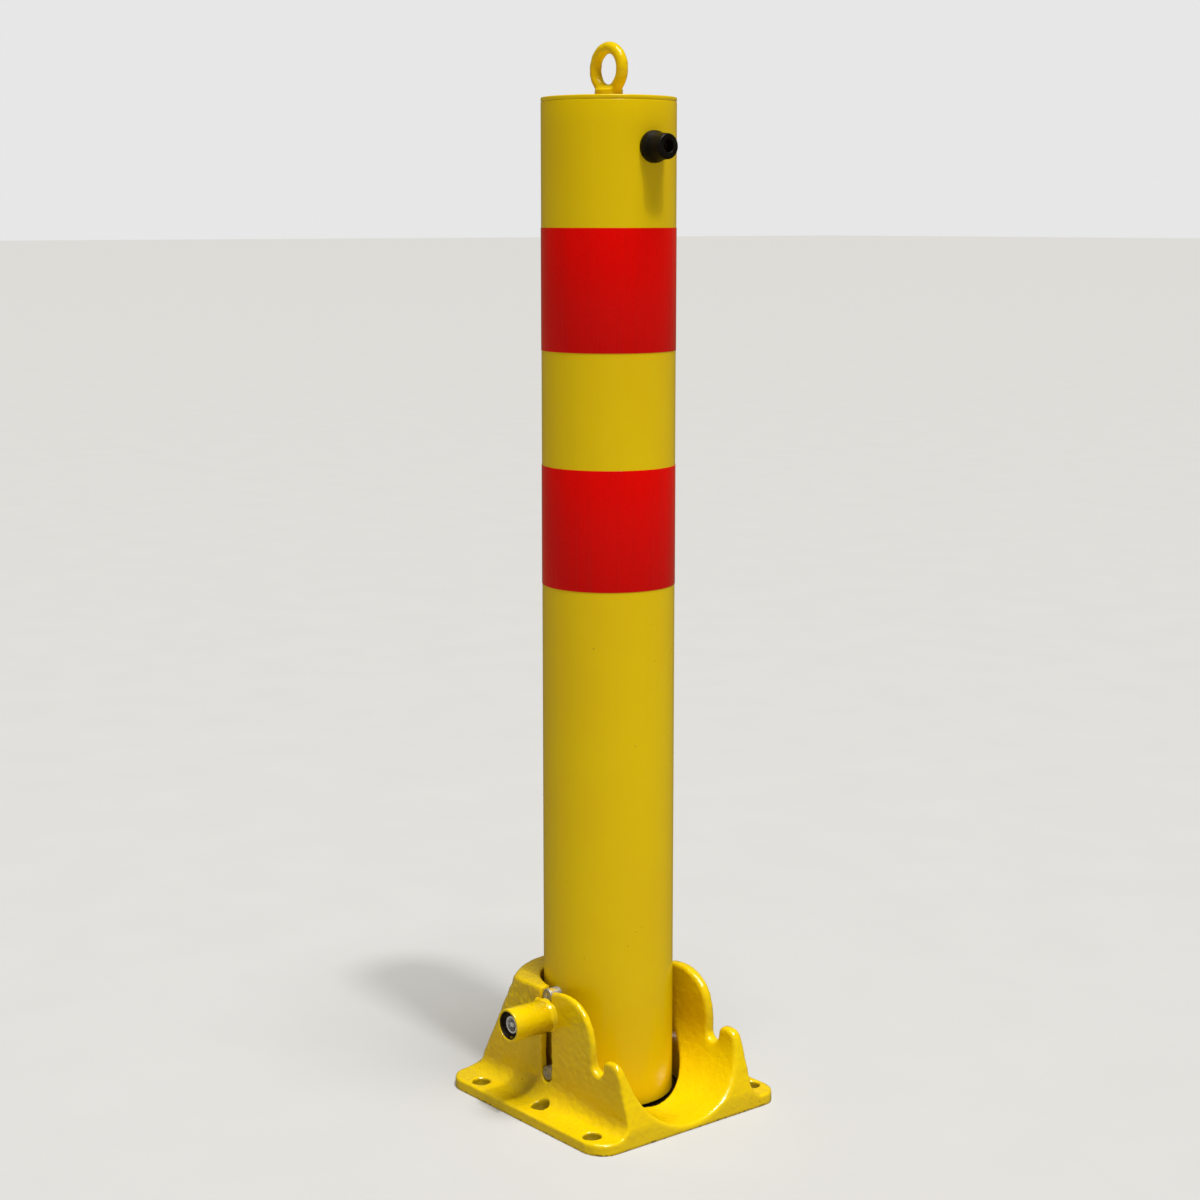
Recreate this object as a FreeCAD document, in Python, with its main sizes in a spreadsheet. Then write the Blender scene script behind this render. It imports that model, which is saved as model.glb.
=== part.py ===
import FreeCAD, Part
import os
import Sketcher

# Fold-down parking bollard: a steel tube post on a cast base.
# The post is lifted out of its socket and tilts about the lower pin into the half-pipe cradle.
# Sub-parts are drawn about the post's axis, with z = 0 on the ground and +X the side it folds to.
# Each one is then moved by post_offset, which puts the origin at the centre of the anchor holes.

VECTOR = FreeCAD.Vector
OUT_FOLDER = "parts"

SIZES = [
    # anchor pattern and flange
    ("post_offset", -8.5), ("bolt_pitch_x", 124.0), ("bolt_pitch_y", 143.0), ("middle_pitch_y", 134.0),
    ("anchor_radius", 6.0), ("flange_rear", -82.5), ("flange_front", 91.5), ("flange_half_width", 82.0),
    ("flange_thickness", 8.0), ("flange_corner", 18.0), ("flange_edge", 2.5),
    # casting walls, cradle and socket
    ("wall_outer", 55.0), ("cradle_radius", 48.0), ("cradle_axis", 52.5), ("socket_radius", 50.0),
    ("rim_height", 86.0), ("rim_rear", -60.6), ("rim_corner", -31.0), ("skirt_rear", -77.0),
    ("skirt_corner", -74.0), ("toe_radius", 12.0), ("rim_edge", 2.2), ("slot_width", 10.8),
    ("slot_bottom", 25.1), ("front_foot", 94.2), ("front_slope", 0.3333), ("front_step", 8.6),
    # hump, notch and horn of the side walls
    ("hump_x", 18.5), ("hump_z", 55.0), ("hump_radius", 32.0), ("notch_x", 55.85), ("notch_z", 46.4),
    ("notch_radius", 5.35), ("horn_top", 54.0), ("horn_shoulder", 47.0),
    # post
    ("post_radius", 45.0), ("post_wall", 3.0), ("post_foot", 4.0), ("post_top", 686.4),
    ("cap_thickness", 3.0), ("cap_bevel", 1.2),
    # pins
    ("pin_radius", 5.0), ("pin_running_fit", 0.05), ("pivot_height", 25.5), ("pin_spacing", 55.5),
    ("pivot_half_length", 54.6), ("cross_half_length", 47.5), ("clip_thickness", 1.2), ("clip_radius", 8.0),
    ("pin_weld", 2.5),
    # lock
    ("lock_height", 67.5), ("lock_mouth", 88.0), ("lock_tube_radius", 11.5), ("lock_tube_bore", 9.7),
    ("lock_weld", 3.0), ("housing_radius", 9.6), ("housing_bore", 6.5), ("housing_front", 86.4),
    ("housing_rear", 57.0), ("spring_seat", 59.0), ("bolt_guide", 4.1), ("barrel_radius", 6.35),
    ("barrel_front", 87.2), ("barrel_rear", 68.0), ("bolt_radius", 4.0), ("bolt_tip", 45.6),
    ("bolt_head", 70.0), ("strike_radius", 4.4), ("plug_radius", 4.9), ("plug_depth", 12.0),
    ("key_ring_outer", 3.9), ("key_ring_inner", 2.0), ("key_way_depth", 6.0), ("grub_radius", 2.0),
    ("grub_from_mouth", 4.5), ("spring_wire", 0.5),
    # eye bolt
    ("eye_radius", 14.0), ("eye_wire", 3.9), ("eye_centre", 706.0), ("collar_radius", 10.0),
    ("collar_height", 4.0), ("eye_neck", 5.5), ("shank_radius", 4.0), ("shank_length", 16.0),
    ("eye_nut_radius", 7.5), ("eye_nut_height", 8.0),
    # rubber stop
    ("stop_height", 653.5), ("stop_base_radius", 10.75), ("stop_tip_radius", 8.25), ("stop_reach", 16.0),
    ("stop_recess", 4.15), ("stop_recess_depth", 9.0), ("stop_lip", 1.2), ("stop_screw_radius", 2.5),
    ("stop_head_radius", 4.0), ("stop_head_height", 3.0), ("insert_radius", 3.6), ("insert_length", 9.0),
    ("insert_flange", 5.5), ("insert_flange_height", 1.0),
    # reflective bands
    ("film_thickness", 0.25), ("band_height", 81.0), ("upper_band_bottom", 520.6),
    ("lower_band_bottom", 362.7),
]

doc = FreeCAD.newDocument("FoldDownBollard")
sheet = doc.addObject("Spreadsheet::Sheet", "Sizes")
for row, (alias, number) in enumerate(SIZES, start=1):
    sheet.set("A%d" % row, alias)
    sheet.set("B%d" % row, str(number))
    sheet.setAlias("B%d" % row, alias)
doc.recompute()
probe = doc.addObject("Part::Vertex", "Probe")

TURN = {
    "+Z": FreeCAD.Rotation(),
    "-Z": FreeCAD.Rotation(VECTOR(1, 0, 0), 180),
    "+X": FreeCAD.Rotation(VECTOR(0, 1, 0), 90),
    "-X": FreeCAD.Rotation(VECTOR(0, 1, 0), -90),
    "+Y": FreeCAD.Rotation(VECTOR(1, 0, 0), -90),
    "-Y": FreeCAD.Rotation(VECTOR(1, 0, 0), 90),
}
ALIASES = {alias for alias, number in SIZES}
SUB_PARTS = []


def formula(text):
    """Turn 'a + b' over sheet aliases into a formula that other objects can use."""
    words = text.replace("(", "( ").replace(")", " )").split()
    return " ".join("Sizes." + word if word in ALIASES else word for word in words)


def value(text):
    return float(probe.evalExpression(formula(text)))


def bind(item, **formulas):
    for name, text in formulas.items():
        item.setExpression(name, formula(text))


def place(item, at, towards="+Z"):
    item.Placement = FreeCAD.Placement(VECTOR(*[value(text) for text in at]), TURN[towards])
    for axis, text in zip("xyz", at):
        item.setExpression("Placement.Base." + axis, formula(text))
    return item


def cylinder(name, radius, length, at, towards="+Z"):
    item = doc.addObject("Part::Cylinder", name)
    bind(item, Radius=radius, Height=length)
    return place(item, at, towards)


def cone(name, base_radius, end_radius, length, at, towards="+Z"):
    item = doc.addObject("Part::Cone", name)
    bind(item, Radius1=base_radius, Radius2=end_radius, Height=length)
    return place(item, at, towards)


def prism(name, radius, length, at, towards="+Z", sides=6):
    item = doc.addObject("Part::Prism", name)
    item.Polygon = sides
    bind(item, Circumradius=radius, Height=length)
    return place(item, at, towards)


def torus(name, ring_radius, wire_radius, at, towards="+Z"):
    item = doc.addObject("Part::Torus", name)
    bind(item, Radius1=ring_radius, Radius2=wire_radius)
    return place(item, at, towards)


def cut(name, base, tool):
    item = doc.addObject("Part::Cut", name)
    item.Base = base
    item.Tool = tool
    return item


def fuse(name, pieces):
    item = doc.addObject("Part::MultiFuse", name)
    item.Shapes = pieces
    return item


def group(name, pieces):
    item = doc.addObject("Part::Compound", name)
    item.Links = pieces
    return item


def sub_part(item, label):
    """Register a finished piece: its Label names its file, and its Placement moves it to the frame."""
    item.Label = label
    item.setExpression("Placement.Base.x", "Sizes.post_offset")
    SUB_PARTS.append(item)
    return item


def new_body(name):
    return doc.addObject("PartDesign::Body", name)


def new_sketch(body, name, role, offset="0"):
    sketch = body.newObject("Sketcher::SketchObject", name)
    plane = [feature for feature in body.Origin.OriginFeatures if feature.Role == role][0]
    sketch.AttachmentSupport = [(plane, "")]
    sketch.MapMode = "FlatFace"
    sketch.AttachmentOffset = FreeCAD.Placement(VECTOR(0, 0, value(offset)), FreeCAD.Rotation())
    sketch.setExpression("AttachmentOffset.Base.z", formula(offset))
    return sketch


def pin_point(sketch, geometry, end, x, y):
    """Tie one end of a sketch edge to the sheet, measured from the sketch's origin."""
    for kind, text in (("DistanceX", x), ("DistanceY", y)):
        index = sketch.addConstraint(Sketcher.Constraint(kind, -1, 1, geometry, end, value(text)))
        sketch.setExpression("Constraints[%d]" % index, formula(text))


def outline(sketch, corners):
    """Closed outline. A corner is (x, y), or (x, y, bulge) where the edge to the next corner is an arc
    whose middle stands off its chord by bulge times the chord's half length, to the left if positive."""
    count = len(corners)
    points = [VECTOR(value(corner[0]), value(corner[1]), 0) for corner in corners]
    for number, corner in enumerate(corners):
        start, end = points[number], points[(number + 1) % count]
        edge_end = 1
        if len(corner) == 2:
            edge = sketch.addGeometry(Part.LineSegment(start, end), False)
        else:
            bulge = value(corner[2])
            chord = end - start
            middle = (start + end) * 0.5 + VECTOR(-chord.y, chord.x, 0) * (0.5 * bulge)
            edge = sketch.addGeometry(Part.Arc(start, middle, end), False)
            if bulge > 0:
                edge_end = 2    # a sketch stores a clockwise arc from its other end
        pin_point(sketch, edge, edge_end, corner[0], corner[1])


def circle(sketch, x, y, radius):
    centre = VECTOR(value(x), value(y), 0)
    edge = sketch.addGeometry(Part.Circle(centre, VECTOR(0, 0, 1), value(radius)), False)
    pin_point(sketch, edge, 3, x, y)
    index = sketch.addConstraint(Sketcher.Constraint("Radius", edge, value(radius)))
    sketch.setExpression("Constraints[%d]" % index, formula(radius))


def pad(body, name, sketch, length, both_ways=False, reverse=False):
    feature = body.newObject("PartDesign::Pad", name)
    feature.Profile = sketch
    feature.Midplane = both_ways
    feature.Reversed = reverse
    bind(feature, Length=length)
    return feature


def pocket(body, name, sketch, length, both_ways=False, reverse=False):
    """Cut the sketch out of the body, and stop if the cut points away from the solid."""
    doc.recompute()
    before = body.Shape.Volume
    feature = body.newObject("PartDesign::Pocket", name)
    feature.Profile = sketch
    feature.Midplane = both_ways
    feature.Reversed = reverse
    bind(feature, Length=length)
    doc.recompute()
    if body.Shape.Volume > before - 1:
        raise RuntimeError(name + " cuts nothing")
    return feature


def round_edges(body, name, radius, wanted):
    """Fillet the edges of the body's last feature whose midpoints satisfy wanted(x, y, z)."""
    doc.recompute()
    base = body.Tip
    edges = []
    for number, edge in enumerate(base.Shape.Edges, start=1):
        middle = edge.valueAt((edge.FirstParameter + edge.LastParameter) / 2)
        if wanted(middle.x, middle.y, middle.z):
            edges.append("Edge%d" % number)
    feature = body.newObject("PartDesign::Fillet", name)
    feature.Base = (base, edges)
    bind(feature, Radius=radius)
    doc.recompute()
    return feature


def close_to(number, target, reach=0.05):
    return abs(number - target) < reach


def base_casting():
    body = new_body("Casting")
    add_flange(body)
    add_socket_block(body)
    add_side_walls(body)
    add_toes(body)
    cut_cradle(body)
    cut_slots_and_holes(body)
    round_wall_tops(body)
    return sub_part(body, "base_casting")


def flange_outline(sketch):
    corner_bulge = "0.41421"
    rear, front, side = "flange_rear", "flange_front", "flange_half_width"
    outline(sketch, [
        (rear + " + flange_corner", "0 - " + side),
        (front + " - flange_corner", "0 - " + side, "0 - " + corner_bulge),
        (front, "flange_corner - " + side),
        (front, side + " - flange_corner", "0 - " + corner_bulge),
        (front + " - flange_corner", side),
        (rear + " + flange_corner", side, "0 - " + corner_bulge),
        (rear, side + " - flange_corner"),
        (rear, "flange_corner - " + side, "0 - " + corner_bulge),
    ])


def add_flange(body):
    sketch = new_sketch(body, "FlangeOutline", "XY_Plane")
    flange_outline(sketch)
    pad(body, "Flange", sketch, "flange_thickness")
    thickness = value("flange_thickness")
    round_edges(body, "FlangeEdge", "flange_edge", lambda x, y, z: close_to(z, thickness))


def add_socket_block(body):
    """Rear block round the socket: it narrows from the flange up to the round rim."""
    foot = new_sketch(body, "BlockFoot", "XY_Plane", "flange_thickness - 4")
    outline(foot, [
        ("0", "wall_outer"),
        ("skirt_corner", "wall_outer", "(skirt_rear - skirt_corner) / wall_outer"),
        ("skirt_corner", "0 - wall_outer"),
        ("0", "0 - wall_outer"),
    ])
    rim = new_sketch(body, "BlockRim", "XY_Plane", "rim_height")
    outline(rim, [
        ("0", "wall_outer"),
        ("rim_corner", "wall_outer", "(rim_rear - rim_corner) / wall_outer"),
        ("rim_corner", "0 - wall_outer"),
        ("0", "0 - wall_outer"),
    ])
    loft = body.newObject("PartDesign::AdditiveLoft", "SocketBlock")
    loft.Profile = foot
    loft.Sections = [rim]
    loft.Ruled = True
    edge = value("wall_outer") - 1
    top = value("rim_height")
    round_edges(body, "BlockRimEdge", "rim_edge",
                lambda x, y, z: close_to(z, top) and (x < -10) and (abs(y) > edge or x < -30))


def add_side_walls(body):
    """Side profile in front of the slot: hump, notch for the cross pin, horn and sloped front."""
    profile = new_sketch(body, "WallProfile", "XZ_Plane")
    hump_start = "hump_z + sqrt(hump_radius ^ 2 - hump_x ^ 2 )"
    hump_bulge = "0 - tan( ( 90 deg + asin(hump_x / hump_radius ) ) / 4 )"
    horn_chord = "( front_foot - front_slope * horn_shoulder - notch_x - notch_radius )"
    horn_bulge = "0 - 2 * ( horn_top - horn_shoulder ) / " + horn_chord
    outline(profile, [
        ("0", "1"),
        ("front_foot - front_slope * front_step", "1"),
        ("front_foot - front_slope * front_step", "front_step"),
        ("front_foot - front_slope * horn_shoulder", "horn_shoulder", horn_bulge),
        ("notch_x + notch_radius", "horn_shoulder"),
        ("notch_x + notch_radius", "notch_z", "1"),
        ("notch_x - notch_radius", "notch_z"),
        ("hump_x + hump_radius", "hump_z", hump_bulge),
        ("0", hump_start),
    ])
    pad(body, "SideWalls", profile, "2 * wall_outer", both_ways=True)


def add_toes(body):
    """Concave toes that run along both sides from the flange up the walls."""
    sketch = new_sketch(body, "ToeProfile", "YZ_Plane", "skirt_rear + 3")
    top = "flange_thickness + toe_radius"
    for sign, bulge in (("", "0.41421"), ("0 - ", "0 - 0.41421")):
        outline(sketch, [
            (sign + "( wall_outer - 3 )", "flange_thickness - 3"),
            (sign + "( wall_outer + toe_radius )", "flange_thickness - 3"),
            (sign + "( wall_outer + toe_radius )", "flange_thickness", bulge),
            (sign + "wall_outer", top),
            (sign + "( wall_outer - 3 )", top),
        ])
    pad(body, "Toes", sketch, "flange_front - skirt_rear - 3 - 0.5")
    front = new_sketch(body, "FrontSlope", "XZ_Plane")
    outline(front, [
        ("front_foot - front_slope * front_step", "front_step"),
        ("front_foot - front_slope * front_step + 20", "front_step"),
        ("front_foot - front_slope * front_step + 20", "120"),
        ("front_foot - front_slope * 120", "120"),
    ])
    pocket(body, "FrontFace", front, "3 * wall_outer", both_ways=True)


def cut_cradle(body):
    channel = new_sketch(body, "CradleProfile", "YZ_Plane")
    outline(channel, [
        ("0 - cradle_radius", "120"),
        ("0 - cradle_radius", "cradle_axis", "0 - 1"),
        ("cradle_radius", "cradle_axis"),
        ("cradle_radius", "120"),
    ])
    pocket(body, "Cradle", channel, "front_foot + 10", reverse=True)
    socket = new_sketch(body, "SocketProfile", "XY_Plane")
    circle(socket, "0", "0", "socket_radius")
    pocket(body, "Socket", socket, "120", reverse=True)


def cut_slots_and_holes(body):
    slot = new_sketch(body, "SlotProfile", "XZ_Plane")
    outline(slot, [
        ("0 - slot_width / 2", "slot_bottom", "0 - 1"),
        ("slot_width / 2", "slot_bottom"),
        ("slot_width / 2", "120"),
        ("0 - slot_width / 2", "120"),
    ])
    pocket(body, "Slots", slot, "3 * wall_outer", both_ways=True)
    holes = new_sketch(body, "AnchorHoles", "XY_Plane")
    for side in ("", "0 - "):
        for end in ("", "0 - "):
            circle(holes, end + "bolt_pitch_x / 2 - post_offset", side + "bolt_pitch_y / 2",
                   "anchor_radius")
        circle(holes, "0 - post_offset", side + "middle_pitch_y / 2", "anchor_radius")
    pocket(body, "Holes", holes, "60", reverse=True)


def round_wall_tops(body):
    """Soften the outer edges of the hump, notch and horn."""
    face = value("wall_outer")
    rear = value("slot_width") / 2 + 0.5
    foot = value("notch_z") - value("notch_radius") - 0.5
    front = value("front_foot - front_slope * horn_shoulder")
    round_edges(body, "WallTops", "rim_edge",
                lambda x, y, z: close_to(abs(y), face) and rear < x < front and z > foot and x + z > 88)


def post_tube():
    shell = cut("PostShell",
                cylinder("PostOutside", "post_radius", "post_top - cap_thickness - post_foot",
                         ("0", "0", "post_foot")),
                cylinder("PostInside", "post_radius - post_wall", "post_top + 20",
                         ("0", "0", "post_foot - 10")))
    pivot_holes = cylinder("PivotHoles", "pin_radius + pin_running_fit", "3 * post_radius",
                           ("0", "1.5 * post_radius", "pivot_height"), "-Y")
    cross_holes = cylinder("CrossHoles", "pin_radius", "3 * post_radius",
                           ("0", "1.5 * post_radius", "pivot_height + pin_spacing"), "-Y")
    strike_hole = cylinder("StrikeHole", "strike_radius", "post_radius",
                           ("0", "0", "lock_height"), "-Y")
    stop_hole = cylinder("StopHole", "insert_radius", "post_radius + 10", ("0", "0", "stop_height"), "+X")
    bored = cut("PostBored", shell, fuse("PostHoles", [pivot_holes, cross_holes, strike_hole, stop_hole]))
    return sub_part(bored, "post_tube")


def top_cap():
    disc = cylinder("CapDisc", "post_radius", "cap_thickness - cap_bevel",
                    ("0", "0", "post_top - cap_thickness + cap_bevel"))
    bevel = cone("CapBevel", "post_radius - cap_bevel", "post_radius", "cap_bevel",
                 ("0", "0", "post_top - cap_thickness"))
    solid = fuse("CapSolid", [disc, bevel])
    hole = cylinder("CapHole", "shank_radius", "3 * cap_thickness",
                    ("0", "0", "post_top - 2 * cap_thickness"))
    return sub_part(cut("Cap", solid, hole), "top_cap")


def cap_weld():
    """Weld run that fills the groove under the cap's bevel."""
    ring = cylinder("WeldRing", "post_radius", "cap_bevel", ("0", "0", "post_top - cap_thickness"))
    bevel = cone("WeldBevel", "post_radius - cap_bevel", "post_radius", "cap_bevel",
                 ("0", "0", "post_top - cap_thickness"))
    return sub_part(cut("CapWeld", ring, bevel), "cap_weld")


def eye_bolt():
    ring = torus("EyeRing", "eye_radius", "eye_wire", ("0", "0", "eye_centre"), "-Y")
    collar = cylinder("EyeCollar", "collar_radius", "collar_height", ("0", "0", "post_top"))
    neck_height = "eye_centre - eye_radius - post_top - collar_height + 1"
    neck = cone("EyeNeck", "collar_radius - 2.5", "eye_neck", neck_height,
                ("0", "0", "post_top + collar_height"))
    shank = cylinder("EyeShank", "shank_radius", "shank_length + 1", ("0", "0", "post_top - shank_length"))
    return sub_part(fuse("EyeBolt", [ring, collar, neck, shank]), "eye_bolt")


def eye_bolt_nut():
    top = "post_top - cap_thickness - eye_nut_height"
    nut = prism("NutBlank", "eye_nut_radius", "eye_nut_height", ("0", "0", top))
    bore = cylinder("NutBore", "shank_radius", "2 * eye_nut_height", ("0", "0", top + " - 4"))
    return sub_part(cut("EyeNut", nut, bore), "eye_bolt_nut")


def reflective_band(label, name, bottom):
    film = cylinder(name + "Outside", "post_radius + film_thickness", "band_height", ("0", "0", bottom))
    core = cylinder(name + "Inside", "post_radius", "band_height + 2", ("0", "0", bottom + " - 1"))
    return sub_part(cut(name, film, core), label)


def cross_pin(label, name, half_length, height):
    pin = cylinder(name, "pin_radius", "2 * " + half_length, ("0", half_length, height), "-Y")
    return sub_part(pin, label)


def cross_pin_welds():
    """Two weld beads inside the tube that hold the upper pin."""
    height = "pivot_height + pin_spacing"
    beads = []
    for number, side in enumerate(("", "0 - ")):
        start = side + "( post_radius - post_wall - pin_weld - 0.9 )"
        bead = cone("WeldBead%d" % number, "pin_radius + 0.4", "pin_radius + pin_weld", "pin_weld",
                    ("0", start, height), "-Y" if side else "+Y")
        hole = cylinder("WeldBeadHole%d" % number, "pin_radius", "3 * pin_weld",
                        ("0", start, height), "-Y" if side else "+Y")
        beads.append(cut("PinWeld%d" % number, bead, hole))
    return sub_part(group("PinWelds", beads), "cross_pin_welds")


def pivot_pin_clips():
    """Two retaining rings just inside the tube wall, which keep the pivot pin central."""
    clips = []
    for number, side in enumerate(("", "0 - ")):
        towards = "-Y" if side else "+Y"
        start = side + "( post_radius - post_wall - clip_thickness - 1.4 )"
        disc = cylinder("ClipDisc%d" % number, "clip_radius", "clip_thickness",
                        ("0", start, "pivot_height"), towards)
        hole = cylinder("ClipHole%d" % number, "pin_radius", "9 * clip_thickness",
                        ("0", side + "( post_radius - 12 )", "pivot_height"), towards)
        clips.append(cut("Clip%d" % number, disc, hole))
    return sub_part(group("Clips", clips), "pivot_pin_clips")


def rubber_stop():
    """Tapered buffer that seats on the tube, with a recess for its screw."""
    reach = "post_radius + stop_reach"
    buffer = cone("StopTaper", "stop_base_radius", "stop_tip_radius", "stop_reach + 3 - stop_lip",
                  ("post_radius - 3", "0", "stop_height"), "+X")
    lip = cone("StopLip", "stop_tip_radius", "stop_tip_radius - stop_lip", "stop_lip",
               (reach + " - stop_lip", "0", "stop_height"), "+X")
    post = cylinder("StopSeat", "post_radius", "60", ("0", "0", "stop_height - 30"))
    recess = cylinder("StopRecess", "stop_recess", "stop_recess_depth + 5",
                      (reach + " - stop_recess_depth", "0", "stop_height"), "+X")
    bore = cylinder("StopBore", "stop_screw_radius", "40", ("post_radius - 10", "0", "stop_height"), "+X")
    flange = cylinder("StopCounterbore", "insert_flange + 0.1", "6",
                      ("post_radius + insert_flange_height - 6", "0", "stop_height"), "+X")
    solid = cut("Stop", fuse("StopSolid", [buffer, lip]), fuse("StopCuts", [post, recess, bore, flange]))
    return sub_part(solid, "rubber_stop")


def stop_screw():
    head_seat = "post_radius + stop_reach - stop_recess_depth"
    head = cylinder("ScrewHead", "stop_head_radius", "stop_head_height",
                    (head_seat, "0", "stop_height"), "+X")
    shank = cylinder("ScrewShank", "stop_screw_radius", "post_wall + stop_reach",
                     (head_seat + " - post_wall - stop_reach + 0.5", "0", "stop_height"), "+X")
    drive = prism("ScrewDrive", "stop_head_radius / 2", "stop_head_height",
                  (head_seat + " + 1", "0", "stop_height"), "+X")
    return sub_part(cut("StopScrew", fuse("ScrewSolid", [head, shank]), drive), "stop_screw")


def stop_insert():
    """Threaded insert in the tube wall for the buffer's screw."""
    sleeve = cylinder("InsertSleeve", "insert_radius", "insert_length",
                      ("post_radius - insert_length + 0.5", "0", "stop_height"), "+X")
    flange = cylinder("InsertFlange", "insert_flange", "insert_flange_height",
                      ("post_radius", "0", "stop_height"), "+X")
    bore = cylinder("InsertBore", "stop_screw_radius", "40", ("post_radius - 20", "0", "stop_height"), "+X")
    return sub_part(cut("StopInsert", fuse("InsertSolid", [sleeve, flange]), bore), "stop_insert")


def along_lock(name, radius, front, rear):
    """Cylinder on the lock's axis, given by its front and rear distances from the post's axis."""
    return cylinder(name, radius, front + " - " + rear, ("0", "0 - " + rear, "lock_height"), "-Y")


def lock_tube():
    outside = along_lock("LockTubeOutside", "lock_tube_radius", "lock_mouth", "wall_outer")
    inside = along_lock("LockTubeInside", "lock_tube_bore", "( lock_mouth + 5 )", "( wall_outer - 5 )")
    screw_hole = cylinder("GrubHole", "grub_radius", "lock_tube_radius",
                          ("0", "grub_from_mouth - lock_mouth", "lock_height"), "-Z")
    return sub_part(cut("LockTube", outside, fuse("LockTubeCuts", [inside, screw_hole])), "lock_tube")


def lock_tube_weld():
    """Fillet weld round the root of the lock tube."""
    bead = cone("TubeWeldCone", "lock_tube_radius + lock_weld", "lock_tube_radius + 0.3", "lock_weld",
                ("0", "0 - wall_outer", "lock_height"), "-Y")
    hole = along_lock("TubeWeldHole", "lock_tube_radius", "( wall_outer + 9 )", "( wall_outer - 5 )")
    slot = doc.addObject("Part::Box", "TubeWeldSlot")
    bind(slot, Length="slot_width", Width="20", Height="80")
    place(slot, ("0 - slot_width / 2", "0 - wall_outer - 10", "lock_height - 40"))
    rear_slot = cut("TubeWeldRound", bead, hole)
    return sub_part(cut("TubeWeld", rear_slot, slot), "lock_tube_weld")


def lock_housing():
    """Fixed shell of the push lock, with a shoulder that guides the bolt."""
    shell = along_lock("HousingShell", "housing_radius", "housing_front", "housing_rear")
    bore = along_lock("HousingBore", "housing_bore", "( housing_front + 5 )", "spring_seat")
    guide = along_lock("HousingGuide", "bolt_guide", "( housing_front + 5 )", "( housing_rear - 5 )")
    dimple = cylinder("HousingDimple", "grub_radius", "lock_tube_radius",
                      ("0", "grub_from_mouth - lock_mouth", "lock_height - housing_radius + 1"), "-Z")
    return sub_part(cut("Housing", shell, fuse("HousingCuts", [bore, guide, dimple])), "lock_housing")


def lock_grub_screw():
    body = cylinder("GrubBody", "grub_radius", "lock_tube_radius - housing_radius + 1 - 0.2",
                    ("0", "grub_from_mouth - lock_mouth", "lock_height - housing_radius + 1"), "-Z")
    drive = prism("GrubDrive", "grub_radius / 2", "2",
                  ("0", "grub_from_mouth - lock_mouth", "lock_height - lock_tube_radius + 1.2"), "-Z")
    return sub_part(cut("Grub", body, drive), "lock_grub_screw")


def lock_spring():
    """Compression spring behind the barrel, as separate rings of wire on one pitch."""
    coil_radius = "bolt_guide + spring_wire + 0.3"
    turns = 5
    rings = []
    for turn in range(turns):
        step = "( spring_seat + 0.7 + %d * ( barrel_rear - spring_seat - 1.4 ) / %d )" % (turn, turns - 1)
        centre = ("0", "0 - " + step, "lock_height")
        rings.append(torus("SpringRing%d" % turn, coil_radius, "spring_wire", centre, "-Y"))
    return sub_part(group("Spring", rings), "lock_spring")


def lock_barrel():
    """Sliding barrel of the lock, bored for the key plug in front and for the bolt behind."""
    solid = along_lock("BarrelSolid", "barrel_radius", "barrel_front", "barrel_rear")
    plug_bore = along_lock("BarrelPlugBore", "plug_radius + 0.05", "( barrel_front + 5 )",
                           "( barrel_front - plug_depth )")
    bolt_bore = along_lock("BarrelBoltBore", "bolt_radius", "bolt_head", "( barrel_rear - 3 )")
    return sub_part(cut("Barrel", solid, fuse("BarrelCuts", [plug_bore, bolt_bore])), "lock_barrel")


def lock_bolt():
    return sub_part(along_lock("Bolt", "bolt_radius", "bolt_head", "bolt_tip"), "lock_bolt")


def lock_plug():
    """Round-key plug: a ring slot round a centre post, with one key nick."""
    solid = along_lock("PlugSolid", "plug_radius", "( barrel_front - 0.3 )",
                       "( barrel_front - plug_depth + 0.3 )")
    ring_outside = along_lock("KeyRingOutside", "key_ring_outer", "( barrel_front + 5 )",
                              "( barrel_front - key_way_depth )")
    ring_inside = along_lock("KeyRingInside", "key_ring_inner", "( barrel_front + 9 )",
                             "( barrel_front - key_way_depth - 2 )")
    nick = doc.addObject("Part::Box", "KeyNick")
    bind(nick, Length="1.2", Width="key_way_depth", Height="plug_radius - 0.6")
    place(nick, ("0 - 0.6", "0 - barrel_front", "lock_height"))
    ring = cut("KeyRing", ring_outside, ring_inside)
    post = along_lock("KeyPost", "key_ring_inner", "( barrel_front - 0.4 )",
                      "( barrel_front - key_way_depth - 1 )")
    slotted = cut("PlugSlotted", solid, fuse("PlugCuts", [ring, nick]))
    return sub_part(fuse("Plug", [slotted, post]), "lock_plug")


def check_document():
    doc.recompute()
    for item in doc.Objects:
        if "Invalid" in item.State or "Error" in item.State:
            raise RuntimeError("%s is %s" % (item.Name, item.State))
    for item in SUB_PARTS:
        if item.Shape.isNull() or not item.Shape.isValid():
            raise RuntimeError(item.Label + " has no valid shape")


def write_parts():
    os.makedirs(OUT_FOLDER, exist_ok=True)
    for item in SUB_PARTS:
        box = item.Shape.BoundBox
        item.Shape.exportStep(os.path.join(OUT_FOLDER, item.Label + ".step"))
        print("%-18s %9.0f mm3  solids %d  x %.1f %.1f  y %.1f %.1f  z %.1f %.1f" % (
            item.Label, item.Shape.Volume, len(item.Shape.Solids), box.XMin, box.XMax,
            box.YMin, box.YMax, box.ZMin, box.ZMax))


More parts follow.
